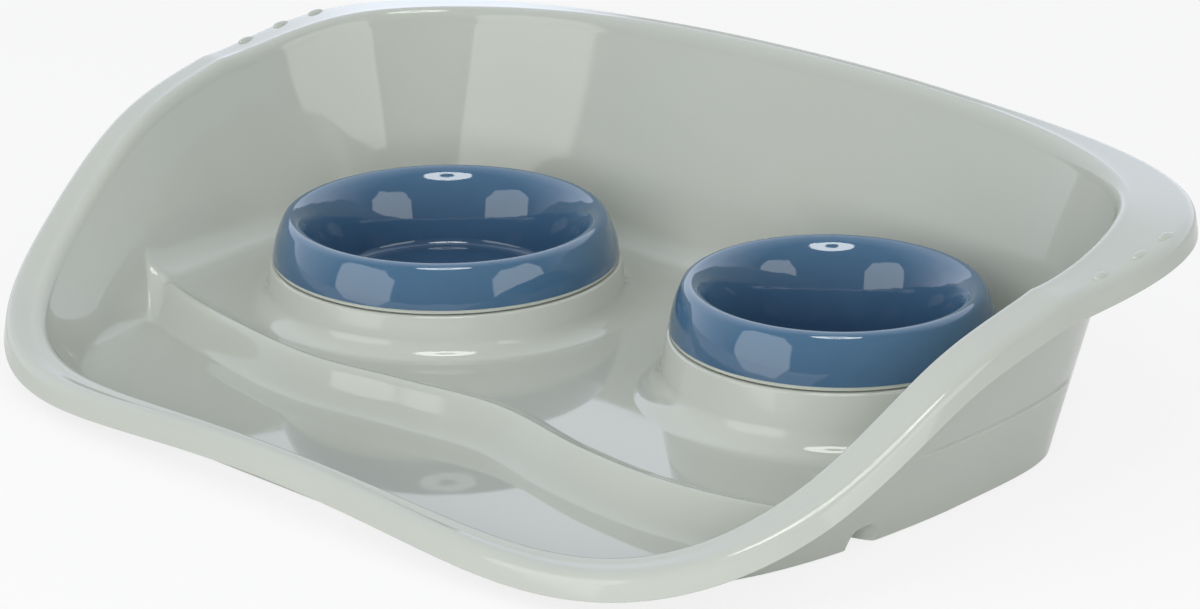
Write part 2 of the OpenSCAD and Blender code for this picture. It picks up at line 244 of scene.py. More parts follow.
# %% Sizes of the step
floor_h = 3.3
platform_h = 18
lip_h = 2.6
lip_back = 6
step_run_left = 6
step_run_right = 12
crest_round = 1.6
foot_round = 4
back_round = 2.4
crest_x = (-1.12, -0.89, -0.62, -0.36, -0.115, 0.13, 0.41, 0.64, 0.87, 1.12)
crest_back = (-0.145, -0.215, -0.258, -0.2785, -0.2525, -0.2305, -0.2685, -0.2765, -0.2425, -0.165)


# %% Crest of the step
def crest_y(x):
    """Where the step's crest lies at x: a smooth curve through the points above, as shares of the base's size."""
    share = x / (base_w / 2)
    last = len(crest_x) - 1
    i = max(0, min(last - 1, sum(1 for edge in crest_x[1:last] if edge <= share)))
    j, k = max(i - 1, 0), min(i + 2, last)
    wide = crest_x[i + 1] - crest_x[i]
    f = (share - crest_x[i]) / wide
    rise = crest_back[i + 1] - crest_back[i]
    start = (crest_back[i + 1] - crest_back[j]) / (crest_x[i + 1] - crest_x[j]) * wide
    end = (crest_back[k] - crest_back[i]) / (crest_x[k] - crest_x[i]) * wide
    return base_d * (crest_back[i] + f * start + f * f * (3 * rise - 2 * start - end)
                     + f**3 * (start + end - 2 * rise))


# %% Height of the floor at any place
def step_run(x):
    return mix(step_run_left, step_run_right, limit(0.5 + x / base_w, 0, 1))


def ramp(v, radius):
    """A ramp from v = 0 whose start is rounded."""
    if v < -radius:
        return 0
    return v if v > radius else (v + radius) ** 2 / (4 * radius)


def step_height(s, run):
    """Height of the floor at a distance s behind the crest."""
    up = (platform_h + lip_h - floor_h) / run
    down = lip_h / lip_back
    return (floor_h + up * ramp(s + run, foot_round) - (up + down) * ramp(s, crest_round)
            + down * ramp(s - lip_back, back_round))


def behind_crest(x, y):
    """Distance behind the crest, measured square to it."""
    slope = (crest_y(x + 1) - crest_y(x - 1)) / 2
    return (y - crest_y(x)) / math.hypot(1, slope)


def floor_at(x, y, shift=0):
    return step_height(behind_crest(x, y) - shift, step_run(x))


print("step height in mm:", round(platform_h + lip_h - floor_h, 1))

# %% [markdown]
# ## One section of the wall
# A moulding like this has one wall thickness all over. Its section starts on the floor, blends up into the wall,
# rolls over the rim, crosses the flange, turns down the skirt and comes back underneath to the standing edge. The
# same list of points, worked out at each angle, gives the whole ring. Low in each side wall is a dent, where the
# wall is pressed in like a bell, so that water and air get out from under the tray.

# %% Sizes of the wall's section
# Blend between floor and wall.
front_blend = 6
back_blend = 14
blend_steps = 10

# The rolled rim, deeper at the high back.
roll = 5
roll_high = 9
roll_depth = 0.38
roll_steps = 12

# The flange, and the angles at which its width changes, counted from straight right.
flange_drop = 0.13
edge_round = 4
edge_lift = 0.25
edge_steps = 8
side_from = -20
corner_at = 36
back_from = 72

# The skirt, its root under the flange, and the outside of the wall.
skirt_h = 11
skirt_out = 2
skirt_root = 1.1
lip_round = 0.8
wall_top = 1.6
edge_gap = 0.5

# The underside near the wall.
under_shift = 1.8
under_corner = 0.3
inner_drop = 0.3
inner_least = 1.2
inner_shares = (0.15, 0.3, 0.45, 0.6, 0.75, 0.9)

# The bead along each side wall.
bead_h = 37
bead_w = 3.2
bead_out = 0.9
bead_from_y = -24
bead_to_y = 86
bead_fade = 12
bead_share = 0.8

# The dent low in each side wall.
dent_y = -39.5
dent_w = 17
dent_h = 11
dent_depth = 11
dent_power = 4
dent_over = 1.1
dent_rows = 12
dent_levels = [dent_h * dent_over - k for k in range(dent_rows)]


# %% Width of the flange and depth of the dents
def flange_width(angle):
    """Narrow in front and behind, wide at the back corners."""
    side = (angle + 450) % 360
    side = side - 90 if side <= 180 else 270 - side
    if side < 0:
        return mix(flange_front, flange_side, ease((side + 90) / (90 + side_from)))
    if side < corner_at:
        return mix(flange_side, flange_corner, ease(side / corner_at))
    return mix(flange_corner, flange_back, ease((side - corner_at) / (back_from - corner_at)))


def dent(angle, height):
    """How far the side wall is pressed in at a height, by the small dent at the table."""
    base = base_point(angle)
    if abs(base.x) < base_w / 4:
        return 0
    across = abs(base.y - dent_y) * 2 / dent_w
    away = (across**dent_power + max(height / dent_h, 0) ** dent_power) ** (1 / dent_power)
    return dent_depth * ease(1 - away)


# %% From the floor up to the skirt
def floor_blend(angle):
    """From the floor's edge up to the straight wall."""
    foot, out = wall_foot(angle), outwards(angle)
    corner = on_wall(angle, floor_at(foot.x, foot.y))
    level = limit((corner.z - floor_h) / (platform_h - floor_h), 0, 1)
    blend = mix(front_blend, back_blend, level)
    start = corner - out * blend
    start.z = floor_at(start.x, start.y)
    lean = (rim_point(angle) - foot).normalized()
    return curve(start, corner, corner + lean * blend, blend_steps), lean


def rim_and_skirt(angle, lean):
    """Over the rim, across the flange and down its skirt."""
    rim, out, width = rim_point(angle), outwards(angle), flange_width(angle)
    slope = (out - UP * flange_drop).normalized()
    down = mix(roll, roll_high, (rim.z - front_h) / (back_h - front_h))
    crown = rim + (lean - slope).normalized() * roll * roll_depth
    over = curve(rim - lean * down, crown, rim + slope * roll, roll_steps)
    edge = rim + out * width - UP * width * flange_drop + (out + UP).normalized() * edge_round * edge_lift
    hang = (out * skirt_out - UP * skirt_h).normalized()
    turn = curve(edge - slope * edge_round, edge, edge + hang * edge_round, edge_steps)
    low = edge + hang * skirt_h
    lip = curve(low - hang * lip_round, low, low - out * lip_round, 3)
    inside = low - out * wall
    back = curve(inside + out * lip_round, inside, inside - hang * lip_round, 2)
    root = edge - (out + UP) * wall * skirt_root
    return over + straight(over[-1], turn[0], 4) + turn + lip + back + [root]


# %% Down the outside, and the whole section
def outer_wall(angle):
    """Down the outside, over the bead on the side walls, to the standing edge."""
    rim, out, base = rim_point(angle), outwards(angle), base_point(angle)
    top = rim + out * wall - UP * wall * wall_top
    foot = base + UP * edge_gap
    bead_z = min(bead_h, top.z * bead_share)
    fade = min(ease((base.y - bead_from_y) / bead_fade), ease((bead_to_y - base.y) / bead_fade))
    bead = [mix(foot, top, (bead_z - k * bead_w / 6) / top.z) + out * bead_out * fade * ease(1 - abs(k) / 3)
            for k in range(-3, 4)]
    low = [mix(foot, top, height / top.z) - out * dent(angle, height) for height in dent_levels]
    return ([top] + straight(top, bead[0], 4) + bead + straight(bead[-1], low[0], 3) + low
            + [foot - out * dent(angle, edge_gap)])


def section(angle):
    """All points of the wall's section, from the floor's edge round to the underside's edge."""
    blend, lean = floor_blend(angle)
    start = blend[0]
    out = outwards(angle)
    over = rim_and_skirt(angle, lean)
    rows = blend + straight(blend[-1], over[0], 5) + over + outer_wall(angle)
    rows.append(wall_foot(angle) + UP * edge_gap - out * dent(angle, edge_gap))
    corner = start + (blend[-1] - start) * under_corner
    corner_z = min(floor_at(corner.x, corner.y, under_shift), rim_point(angle).z) - wall
    inner_h = limit(corner_z - wall * inner_drop, edge_gap * inner_least, dent_h + wall)
    for share in inner_shares:
        height = mix(edge_gap, inner_h, share)
        rows.append(on_wall(angle, height) - out * dent(angle, height - wall))
    rows.append(Vector((corner.x, corner.y, corner_z)))
    rows.append(Vector((start.x, start.y, floor_at(start.x, start.y, under_shift) - wall)))
    return rows


print("points in a section:", len(section(0)))

# %% [markdown]
# ## The ring of wall, rim and flange
# A flat grid is added and bent round: one direction of it follows the section, the other goes round the tray. Rows
# stand closer together at the corners and where the step runs into the side walls, since the form changes fastest
# there.


# %% Bend a flat grid
def bent_grid(name, across, along, place):
    """A flat grid whose points move to place(i, j)."""
    clear_selection()
    bpy.ops.mesh.primitive_grid_add(x_subdivisions=across, y_subdivisions=along, size=1)
    piece = bpy.context.object
    piece.name = name
    for point in piece.data.vertices:
        i = round((point.co.x + 0.5) * across)
        j = round((point.co.y + 0.5) * along)
        point.co = place(i, j) * MM
    return piece


# %% Where the sections stand
corner_crowding = 6
step_end_y = -0.17 * base_d
near_step = 24
coarse = 380
finer = 4


def crowded(t):
    """Moves an evenly spaced angle towards the nearest corner."""
    return t + corner_crowding * math.sin(math.radians(4 * t))


angles = []
for k in range(coarse):
    t = k * 360 / coarse
    parts = finer if abs(base_point(crowded(t)).y - step_end_y) < near_step else 1
    angles += [crowded(t + n / parts * 360 / coarse) for n in range(parts)]
print("sections:", len(angles))

# %% Bend the ring
sections = [section(angle) for angle in angles]
tray = bent_grid("moulded_tray", len(sections), len(sections[0]) - 1,
                 lambda i, j: sections[i % len(sections)][j])
print("ring:", len(tray.data.polygons), "faces")

# %% [markdown]
# ## The floor
# The floor has to meet the ring in the same points, so that light runs over the joint without a line. Its outline
# is the ring's first row. Rows of points along the step, close together where it bends, are added inside it, and a
# triangulation joins them all. A second sheet, one wall lower, closes the moulding underneath.


# %% Rows of points along the step
def step_offsets(run):
    """Distances behind the crest, close together where the section bends."""
    foot = [-run + foot_round * k / 4 for k in range(-4, 5)]
    crest = [crest_round * k / 3 for k in range(-3, 4)]
    back = [lip_back + back_round * k / 3 for k in range(-3, 4)]
    return sorted(foot + crest + back)


def inside_outline(x, y, ring, margin):
    """True where a point lies inside a closed outline, at least margin from it."""
    odd = False
    for a, b in zip(ring, ring[1:] + ring[:1]):
        if (a.y > y) != (b.y > y) and x < a.x + (y - a.y) / (b.y - a.y) * (b.x - a.x):
            odd = not odd
        if (a.x - x) ** 2 + (a.y - y) ** 2 < margin**2:
            return False
    return odd


# %% Place the points along the step
step_spacing = 2.5
edge_margin = 0.7
floor_edge = [rows[0] for rows in sections]
points = [Vector((p.x, p.y)) for p in floor_edge]
lines = [(k, (k + 1) % len(points)) for k in range(len(points))]
columns = int(base_w / step_spacing)
before = {}
for c in range(columns + 1):
    x = mix(-base_w / 2, base_w / 2, c / columns)
    slant = math.hypot(1, (crest_y(x + 1) - crest_y(x - 1)) / 2)
    now = {}
    for row, s in enumerate(step_offsets(step_run(x))):
        y = crest_y(x) + s * slant
        if inside_outline(x, y, floor_edge, edge_margin):
            now[row] = len(points)
            points.append(Vector((x, y)))
            if row in before:
                lines.append((before[row], now[row]))
    before = now
print("points on the floor:", len(points))

# %% Lay the two sheets
flat_points, _, triangles, _, _, _ = delaunay_2d_cdt(points, lines, [], 1, 1e-5)


def floor_sheet(name, drop, shift):
    """The floor, lowered by drop and with its step moved back by shift."""
    corners = [Vector((p.x, p.y, floor_at(p.x, p.y, shift) - drop)) * MM for p in flat_points]
    mesh = bpy.data.meshes.new(name)
    mesh.from_pydata(corners, [], triangles)
    sheet = bpy.data.objects.new(name, mesh)
    bpy.context.collection.objects.link(sheet)
    return sheet


# %% Join the sheets to the ring
sheets = [floor_sheet("floor", 0, 0), floor_sheet("underside", wall, under_shift)]
clear_selection()
for sheet in sheets + [tray]:
    sheet.select_set(True)
bpy.context.view_layer.objects.active = tray
bpy.ops.object.join()
close_seams(tray)
shape = bmesh.new()
shape.from_mesh(tray.data)
print("open edges:", sum(1 for edge in shape.edges if not edge.is_manifold), "of", len(shape.edges))
shape.free()

# %% [markdown]
# ## Pedestals and wells
# Each bowl stands in a round well on top of a pedestal. A turned form is easiest to spin: its outline is drawn
# point by point by extruding a single vertex, and spun about the upright axis. The pedestal's foot flares out level
# onto the platform, so that the joint between them doesn't show. Where the flare would reach through the back wall,
# its points are pulled back into the wall.


# %% Spin an outline
def at(radius, height):
    return Vector((radius, height))


def arc(x, z, radius, first, last, steps):
    """Points of a circle between two angles, from the level outwards."""
    turns = [math.radians(mix(first, last, k / steps)) for k in range(steps + 1)]
    return [at(x + radius * math.cos(turn), z + radius * math.sin(turn)) for turn in turns]


def turned(name, profile, x, y, steps=180):
    """Extrudes a vertex along the profile, spins it about an upright axis and places it at x, y."""
    clear_selection()
    bpy.ops.mesh.primitive_plane_add(size=MM)
    piece = bpy.context.object
    piece.name = name
    bpy.ops.object.mode_set(mode="EDIT")
    bpy.ops.mesh.merge(type="CENTER")
    first = Vector((profile[0].x, 0, profile[0].y)) * MM
    bpy.ops.transform.translate(value=first)
    for a, b in zip(profile, profile[1:]):
        move = Vector((b.x - a.x, 0, b.y - a.y)) * MM
        bpy.ops.mesh.extrude_vertices_move(TRANSFORM_OT_translate={"value": move})
    bpy.ops.mesh.select_all(action="SELECT")
    bpy.ops.mesh.spin(steps=steps, angle=math.tau, center=(0, 0, 0), axis=(0, 0, 1))
    bpy.ops.object.mode_set(mode="OBJECT")
    close_seams(piece)
    piece.data.transform(Matrix.Translation(Vector((x, y, 0)) * MM))
    return piece


# %% Sizes shared by a bowl and its pedestal
# Middle, radius of the band, top of the pedestal, height of the band, thickness of the bottom, radius of the flare.
bowl_sizes = {
    "left": {"x": -90.4, "y": 22.1, "r": 80, "top": 37.1, "band": 19, "bottom": 8, "fillet": 9.5},
    "right": {"x": 117.3, "y": 49.2, "r": 70.5, "top": 44.6, "band": 21, "bottom": 6, "fillet": 12.5},
}
well_h = 12
well_round = 6

# The pedestal reaches a little past the band, and its flare ends just under the platform's surface.
shoulder = 1.2
pedestal_wall = 1.8
pedestal_round = 1.4
pedestal_draft = 0.07
sunk = 0.04
near_wall_y = 90


# %% Outline of a pedestal
def well_radius(size):
    return size["r"] + shoulder - pedestal_wall - pedestal_round


def pedestal_profile(size):
    """From the middle of the well's underside, out to the flare, over the top and down into the well."""
    r = size["r"] + shoulder
    w = well_radius(size)
    foot_r = r + (size["top"] - platform_h) * pedestal_draft
    fillet = size["fillet"]
    flare_r = foot_r + fillet
    under = [at(0, well_h - wall), at(w + wall, well_h - wall), at(w + wall, platform_h - wall / 2),
             at(flare_r + wall, platform_h - wall / 2), at(flare_r + wall, platform_h - sunk)]
    flare = arc(flare_r, platform_h + fillet, fillet, -92, -180, 16)
    top = arc(r - pedestal_round, size["top"] - pedestal_round, pedestal_round, 0, 90, 6)
    mouth = arc(w + pedestal_round / 2, size["top"] - pedestal_round / 2, pedestal_round / 2, 90, 180, 4)
    well = arc(w - well_round, well_h + well_round, well_round, 0, -90, 8)
    return under + flare + top + mouth + well + [at(0, well_h)]


# %% Keep a pedestal inside the wall
def keep_inside(piece):
    """Pulls points that would stick out through the wall back to the middle of the wall."""
    walls = [(wall_foot(angle), rim_point(angle), outwards(angle)) for angle in angles]
    walls = [w for w in walls if w[0].y > near_wall_y]
    for point in piece.data.vertices:
        place = point.co / MM
        if place.y < near_wall_y or place.z > platform_h + wall:
            continue
        across = [(mix(foot, rim, place.z / rim.z) + out * wall / 2, out) for foot, rim, out in walls]
        middle, out = min(across, key=lambda pair: (pair[0] - place).length_squared)
        past = (place - middle).dot(out)
        if past > 0:
            point.co = (place - out * past) * MM


# %% Cut the wells and set the pedestals in
for size in bowl_sizes.values():
    clear_selection()
    bpy.ops.mesh.primitive_cylinder_add(
        vertices=128, radius=(well_radius(size) + pedestal_wall / 2) * MM, depth=2 * back_h * MM,
        location=(size["x"] * MM, size["y"] * MM, (well_h - wall / 2 + back_h) * MM))
    combine(tray, bpy.context.object, "DIFFERENCE")
for side, size in bowl_sizes.items():
    pedestal = turned(side + "_pedestal", pedestal_profile(size), size["x"], size["y"])
    keep_inside(pedestal)
    combine(tray, pedestal, "UNION")
print("tray with pedestals:", len(tray.data.polygons), "faces")

# %% [markdown]
# ## Grip ribs
# On the outer edge of the flange, three small ribs on each side help to grip the wet tray. Each is a stretched ball
# joined to the moulding.

# %% Grip ribs
rib_places = (47, 68, 86)
rib_length = 11
rib_w = 4.2
rib_out = 1.1
rib_inset = 1.1 * edge_round
search_step = 0.25


def on_flange(y, side):
    """Place near the flange's outer edge, at y on the right (side 1) or the left (side -1)."""
    angle = 0
    while rim_point(angle).y < y:
        angle += search_step
    width = flange_width(angle) - rib_inset
    place = rim_point(angle) + outwards(angle) * width - UP * width * flange_drop
    return Vector((side * place.x, place.y, place.z))


for side in (-1, 1):
    for y in rib_places:
        clear_selection()
        bpy.ops.mesh.primitive_uv_sphere_add(
            segments=32, ring_count=16, radius=MM, location=on_flange(y, side) * MM)
        bpy.ops.transform.resize(value=(rib_w / 2, rib_length / 2, rib_out * 2))
        bpy.ops.object.transform_apply(location=True, rotation=True, scale=True)
        combine(tray, bpy.context.object, "UNION")
close_seams(tray)
smooth(tray)
print("tray:", len(tray.data.polygons), "faces")

# %% [markdown]
# ## Bowls
# A ceramic bowl of this kind is pressed over a turned mould, so it is round all over. The glaze stops short of the
# lower edge of the band, which leaves a ring of bare fired clay, and the foot ring that stands on the kiln shelf is
# bare too.

# %% Sizes of a bowl
# The bare ring between pedestal and band.
ring_gap = 0.8
ring_h = 1.6
ring_inset = 0.5

# The band leans inwards by band_low degrees at its lower edge and by band_high at the rim.
band_low = 6.5
band_high = 27
rim_lean = 8.7
rim_round = 4

# Inside, a tight round turns into a wider one, and then the wall leans by so many degrees at each depth.
rim_end = 115
rim_inside = 10
rim_turn = 41
wall_depths = (2.9, 6.6, 14, 22.5, 34, 60)
wall_normals = (41, 27, 19, 14, 10, 6)
wall_step = 0.8
cove = 3

# The foot ring, and the body that stands in the well.
foot_ring_h = 4
foot_ring_w = 5
foot_share = 0.66
body_low = 1.2
body_turn = 1.4
body_rise = 0.7
well_gap = 1.2


# %% Inside of a bowl
def inner_wall(crest_r, rim_z, floor_z):
    """A round inside the rim that widens, a slope that gets steeper, and a tight cove at the floor."""
    points = arc(crest_r, rim_z - rim_round, rim_round, 90, rim_end, 5)
    r, z = points[-1]
    end = math.radians(rim_end)
    points += arc(r - rim_inside * math.cos(end), z - rim_inside * math.sin(end), rim_inside,
                  rim_end, 180 - rim_turn, 8)[1:]
    r, z = points[-1]
    normal = rim_turn
    while z > floor_z + cove * (1 - math.sin(math.radians(normal))):
        depth = rim_z - z
        i = max(k for k, edge in enumerate(wall_depths[:-1]) if edge <= depth or k == 0)
        share = (depth - wall_depths[i]) / (wall_depths[i + 1] - wall_depths[i])
        normal = mix(wall_normals[i], wall_normals[i + 1], limit(share, 0, 1))
        z -= wall_step
        r -= wall_step * math.tan(math.radians(normal))
        points.append(at(r, z))
    side = math.radians(normal)
    return points[:-1] + arc(r - cove * math.cos(side), floor_z + cove, cove, -normal, -90, 6)


# %% Outline of a bowl
def bowl_profile(size):
    """From the middle of the underside over the foot ring, body, bare ring, band and rim to the floor inside."""
    r = size["r"]
    body_r = well_radius(size) - well_gap
    ring_z = size["top"] + ring_gap
    edge_z = ring_z + ring_h
    rim_z = edge_z + size["band"]
    crest_r = r - rim_lean
    foot_r = r * foot_share
    foot_z = well_h + foot_ring_h
    floor_z = foot_z + size["bottom"]
    foot = [at(0, foot_z), at(foot_r - foot_ring_w - foot_ring_h / 2, foot_z), at(foot_r - foot_ring_w, well_h),
            at(foot_r, well_h), at(foot_r + foot_ring_h / 2, foot_z)]
    body = curve(at(foot_r + foot_ring_h, well_h + foot_ring_h * body_low),
                 at(body_r, well_h + foot_ring_h * body_turn), at(body_r, mix(well_h, ring_z, body_rise)), 10)
    bare = [at(body_r, ring_z), at(r - ring_inset, ring_z), at(r - ring_inset, edge_z)]
    crest = arc(crest_r, rim_z - rim_round, rim_round, band_high, 90, 12)
    low, high = (at(-math.sin(math.radians(a)), math.cos(math.radians(a))) for a in (band_low, band_high))
    start = at(r, edge_z)
    reach = (crest[0] - start).cross(high) / low.cross(high)
    band = curve(start, start + low * reach, crest[0], 20) + crest[1:]
    return foot + body + bare + band + inner_wall(crest_r, rim_z, floor_z)[1:] + [at(0, floor_z)]


# %% Turn both bowls
bowls = {}
for side, size in bowl_sizes.items():
    bowls[side] = turned(side + "_ceramic_bowl", bowl_profile(size), size["x"], size["y"], 200)
    smooth(bowls[side], 40)
    print(side, "bowl:", len(bowls[side].data.polygons), "faces")

# %% [markdown]
# ## Rubber feet
# Four small rubber discs are stuck under the moulding. Each starts as a cylinder, and a bevel rounds its edges.

# %% Feet
foot_bevel = 0.3
feet = []
for node_name in sorted(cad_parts):
    if not node_name.startswith("foot_"):
        continue
    low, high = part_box(node_name)
    middle = (low + high) / 2
    clear_selection()
    bpy.ops.mesh.primitive_cylinder_add(
        vertices=64, radius=(high.x - low.x) / 2, depth=high.z - low.z, location=middle)
    foot = bpy.context.object
    foot.name = "rubber_" + node_name
    edit(foot)
    bpy.ops.mesh.bevel(offset=foot_bevel * MM, segments=3, affect="EDGES")
    bpy.ops.object.mode_set(mode="OBJECT")
    bpy.ops.object.transform_apply(location=True, rotation=True, scale=True)
    smooth(foot, 40)
    feet.append((foot, node_name))
print("feet:", [foot.name for foot, _ in feet])

# %% [markdown]
# ## Finishes
# Colours are written as sRGB hex values, as a colour picker gives them, and turned to the linear values that the
# shader works in. Patterns read Object coordinates, which are metres here, so a scale is one over a real length.


# %% Colour and node helpers
def colour(code):
    """Linear RGBA of an sRGB hex colour."""
    parts = [int(code[k:k + 2], 16) / 255 for k in (1, 3, 5)]
    return [p / 12.92 if p <= 0.04045 else ((p + 0.055) / 1.055) ** 2.4 for p in parts] + [1.0]


def add(tree, kind, settings, links=()):
    """Adds one node with its settings, and links its sockets to outputs, or to a node's first output."""
    made = tree.nodes.new(kind)
    for name, value in settings.items():
        if isinstance(name, str) and hasattr(made, name):
            setattr(made, name, value)
        else:
            made.inputs[name].default_value = value
    for socket, source in dict(links).items():
        tree.links.new(source.outputs[0] if hasattr(source, "outputs") else source, made.inputs[socket])
    return made


def new_material(name):
    """An empty material, its node tree, its output and the coordinates that its patterns read."""
    material = bpy.data.materials.new(name)
    material.use_nodes = True
    tree = material.node_tree
    tree.nodes.clear()
    output = tree.nodes.new("ShaderNodeOutputMaterial")
    return material, tree, output, tree.nodes.new("ShaderNodeTexCoord").outputs["Object"]


# %% [markdown]
# ### Moulded plastic
# The tray is polypropylene or ABS from a polished mould: a warm grey-green, glossy enough to mirror the bowls. No
# moulding is quite flat, so a slow ripple bends the reflections a little, and the polish varies over the tray.

# %% Glossy moulded plastic
def moulded_plastic():
    material, tree, output, place = new_material("glossy_moulded_plastic")
    cloud = add(tree, "ShaderNodeTexNoise", {"Scale": 1 / 0.09, "Detail": 2.0}, {"Vector": place})
    tone = add(tree, "ShaderNodeMix", {"data_type": "RGBA", 6: colour("#B9BDB5"), 7: colour("#BFC3BB")},
               {0: cloud})
    polish = add(tree, "ShaderNodeTexNoise", {"Scale": 1 / 0.03, "Detail": 4.0}, {"Vector": place})
    gloss = add(tree, "ShaderNodeMapRange", {"To Min": 0.025, "To Max": 0.06}, {"Value": polish})
    ripple = add(tree, "ShaderNodeTexNoise", {"Scale": 1 / 0.035, "Detail": 1.0}, {"Vector": place})
    bump = add(tree, "ShaderNodeBump", {"Strength": 1.0, "Distance": 0.00006}, {"Height": ripple})
    shader = add(tree, "ShaderNodeBsdfPrincipled", {"IOR": 1.49, "Specular IOR Level": 0.36},
                 {"Base Color": tone.outputs[2], "Roughness": gloss, "Normal": bump})
    tree.links.new(shader.outputs["BSDF"], output.inputs["Surface"])
    return material


# %% [markdown]
# ### Glaze, bare clay and rubber
# A glaze is a layer of coloured glass. Its colour is painted shade: lighter at the rim and darker with depth
# below it, down the band and into the bowl, where shade falls. Its surface is never quite even, so the edges of
# mirrored lights waver. The fired clay under it is pale and matt with a fine grain. The rubber of the feet is as
# matt, but dark. The grain of both is too fine to show, so it is drawn coarser, 0.8 mm wide on the clay and 0.6 mm
# on the rubber.

# %% Blue glaze
# Painted shade: the glaze's colour darkens over this many millimetres below the rim.
glaze_shade_depth = 46
fleck_share = 0.25


def blue_glaze(name, rim_z):
    material, tree, output, place = new_material(name)
    height = add(tree, "ShaderNodeSeparateXYZ", {}, {"Vector": place})
    # Painted shade: the colour runs from a dark shade colour deep below the rim to a lighter colour at the rim.
    level = add(tree, "ShaderNodeMapRange", {"From Min": (rim_z - glaze_shade_depth) * MM, "From Max": rim_z * MM},
                {"Value": height.outputs["Z"]})
    depth_shaded_glaze = add(tree, "ShaderNodeMix", {"data_type": "RGBA", 6: colour("#2C4564"), 7: colour("#476986")},
                   {0: level})
    cloud = add(tree, "ShaderNodeTexNoise", {"Scale": 1 / 0.012, "Detail": 3.0}, {"Vector": place})
    flecks = add(tree, "ShaderNodeMapRange", {"To Max": fleck_share}, {"Value": cloud})
    flecked = add(tree, "ShaderNodeMix", {"data_type": "RGBA", 7: colour("#557896")},
                  {0: flecks, 6: depth_shaded_glaze.outputs[2]})
    waver = add(tree, "ShaderNodeTexNoise", {"Scale": 1 / 0.009, "Detail": 1.0}, {"Vector": place})
    bump = add(tree, "ShaderNodeBump", {"Strength": 1.0, "Distance": 0.00008}, {"Height": waver})
    shader = add(tree, "ShaderNodeBsdfPrincipled", {"IOR": 1.52, "Roughness": 0.04},
                 {"Base Color": flecked.outputs[2], "Normal": bump})
    tree.links.new(shader.outputs["BSDF"], output.inputs["Surface"])
    return material


# %% Bare fired clay
def bare_clay():
    material, tree, output, place = new_material("bare_fired_clay")
    grain = add(tree, "ShaderNodeTexNoise", {"Scale": 1 / 0.0008, "Detail": 3.0}, {"Vector": place})
    tone = add(tree, "ShaderNodeMix", {"data_type": "RGBA", 6: colour("#B2B7AE"), 7: colour("#C4C8BF")},
               {0: grain})
    bump = add(tree, "ShaderNodeBump", {"Strength": 0.6, "Distance": 0.00004}, {"Height": grain})
    shader = add(tree, "ShaderNodeBsdfPrincipled", {"Roughness": 0.7},
                 {"Base Color": tone.outputs[2], "Normal": bump})
    tree.links.new(shader.outputs["BSDF"], output.inputs["Surface"])
    return material


# %% Soft rubber
def soft_rubber():
    material, tree, output, place = new_material("soft_grey_rubber")
    grain = add(tree, "ShaderNodeTexNoise", {"Scale": 1 / 0.0006, "Detail": 2.0}, {"Vector": place})
    tone = add(tree, "ShaderNodeMix", {"data_type": "RGBA", 6: colour("#565856"), 7: colour("#636563")},
               {0: grain})
    bump = add(tree, "ShaderNodeBump", {"Strength": 0.5, "Distance": 0.00005}, {"Height": grain})
    shader = add(tree, "ShaderNodeBsdfPrincipled", {"Roughness": 0.75, "IOR": 1.52},
                 {"Base Color": tone.outputs[2], "Normal": bump})
    tree.links.new(shader.outputs["BSDF"], output.inputs["Surface"])
    return material


# %% Dress the pieces
def dress(piece, material):
    piece.data.materials.clear()
    piece.data.materials.append(material)


glaze_margin = 0.02
underside_margin = 1


def is_bare(face, size, edge_z):
    """True below the glaze's edge where a face is outside, near the underside or looks down."""
    radius = (Vector(face.center[:2]) - Vector((size["x"], size["y"])) * MM).length
    outside = radius > (size["r"] - 2 * rim_lean) * MM
    low = face.center.z < (well_h + foot_ring_h + underside_margin) * MM
    return face.center.z < (edge_z + glaze_margin) * MM and (outside or low or face.normal.z < -0.5)


dress(tray, moulded_plastic())
clay = bare_clay()
for side, size in bowl_sizes.items():
    edge_z = size["top"] + ring_gap + ring_h
    dress(bowls[side], blue_glaze(side + "_blue_glaze", edge_z + size["band"]))
    bowls[side].data.materials.append(clay)
    for face in bowls[side].data.polygons:
        face.material_index = 1 if is_bare(face, size, edge_z) else 0
rubber = soft_rubber()
for foot, _ in feet:
    dress(foot, rubber)

# %% Let each piece ride on its body
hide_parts("tray")
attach(tray, "tray")
for side in bowls:
    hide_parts(side + "_bowl")
    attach(bowls[side], side + "_bowl")
for foot, node_name in feet:
    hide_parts(node_name)
    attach(foot, "tray")

# %% [markdown]
# ## Studio
# The photograph was taken in a bright studio: a white backdrop behind, two softboxes beside the camera and a ring
# lamp above it. Plain area lamps give the even light, and no mirrored ray finds them. Gloss shows the real lamps as
# crisp patches, so the world draws those by direction, for mirrored rays only. The softboxes reach below the
# horizon, where the floor hides the world, so the floor draws the rest of them. To the camera, the world is white,
# and the floor glows just enough to look white too and still keep the tray's shadow.

# %% Camera at the photograph's angle
camera_turn = 42.87
camera_tilt = 20
facing = camera_turn - 90
camera = bpy.data.objects.new("camera", bpy.data.cameras.new("camera"))
bpy.context.collection.objects.link(camera)
camera.location = (0.9995, -1.0478, 0.5687)
camera.rotation_euler = (math.radians(90 - camera_tilt), 0, math.radians(camera_turn))
camera.data.lens = 105
camera.data.sensor_width = 36
camera.data.clip_end = 20
bpy.context.scene.camera = camera


# %% Lamps
lamp_distance = 2.2


def towards(bearing, height):
    """A direction from the tray. The bearing is measured from the camera's, to the right."""
    turn, rise = math.radians(facing + bearing), math.radians(height)
    return Vector((math.cos(turn) * math.cos(rise), math.sin(turn) * math.cos(rise), math.sin(rise)))


def lamp(name, shape, bearing, height, sizes, strength):
    """An area lamp that faces the tray."""
    data = bpy.data.lights.new(name, "AREA")
    data.shape = shape
    data.size = sizes[0]
    data.size_y = sizes[1]
    data.energy = strength * math.pi * sizes[0] * sizes[1]
    ob = bpy.data.objects.new(name, data)
    ob.location = towards(bearing, height) * lamp_distance
    ob.rotation_euler = (-ob.location).to_track_quat("-Z", "Y").to_euler()
    ob.visible_glossy = False
    bpy.context.collection.objects.link(ob)


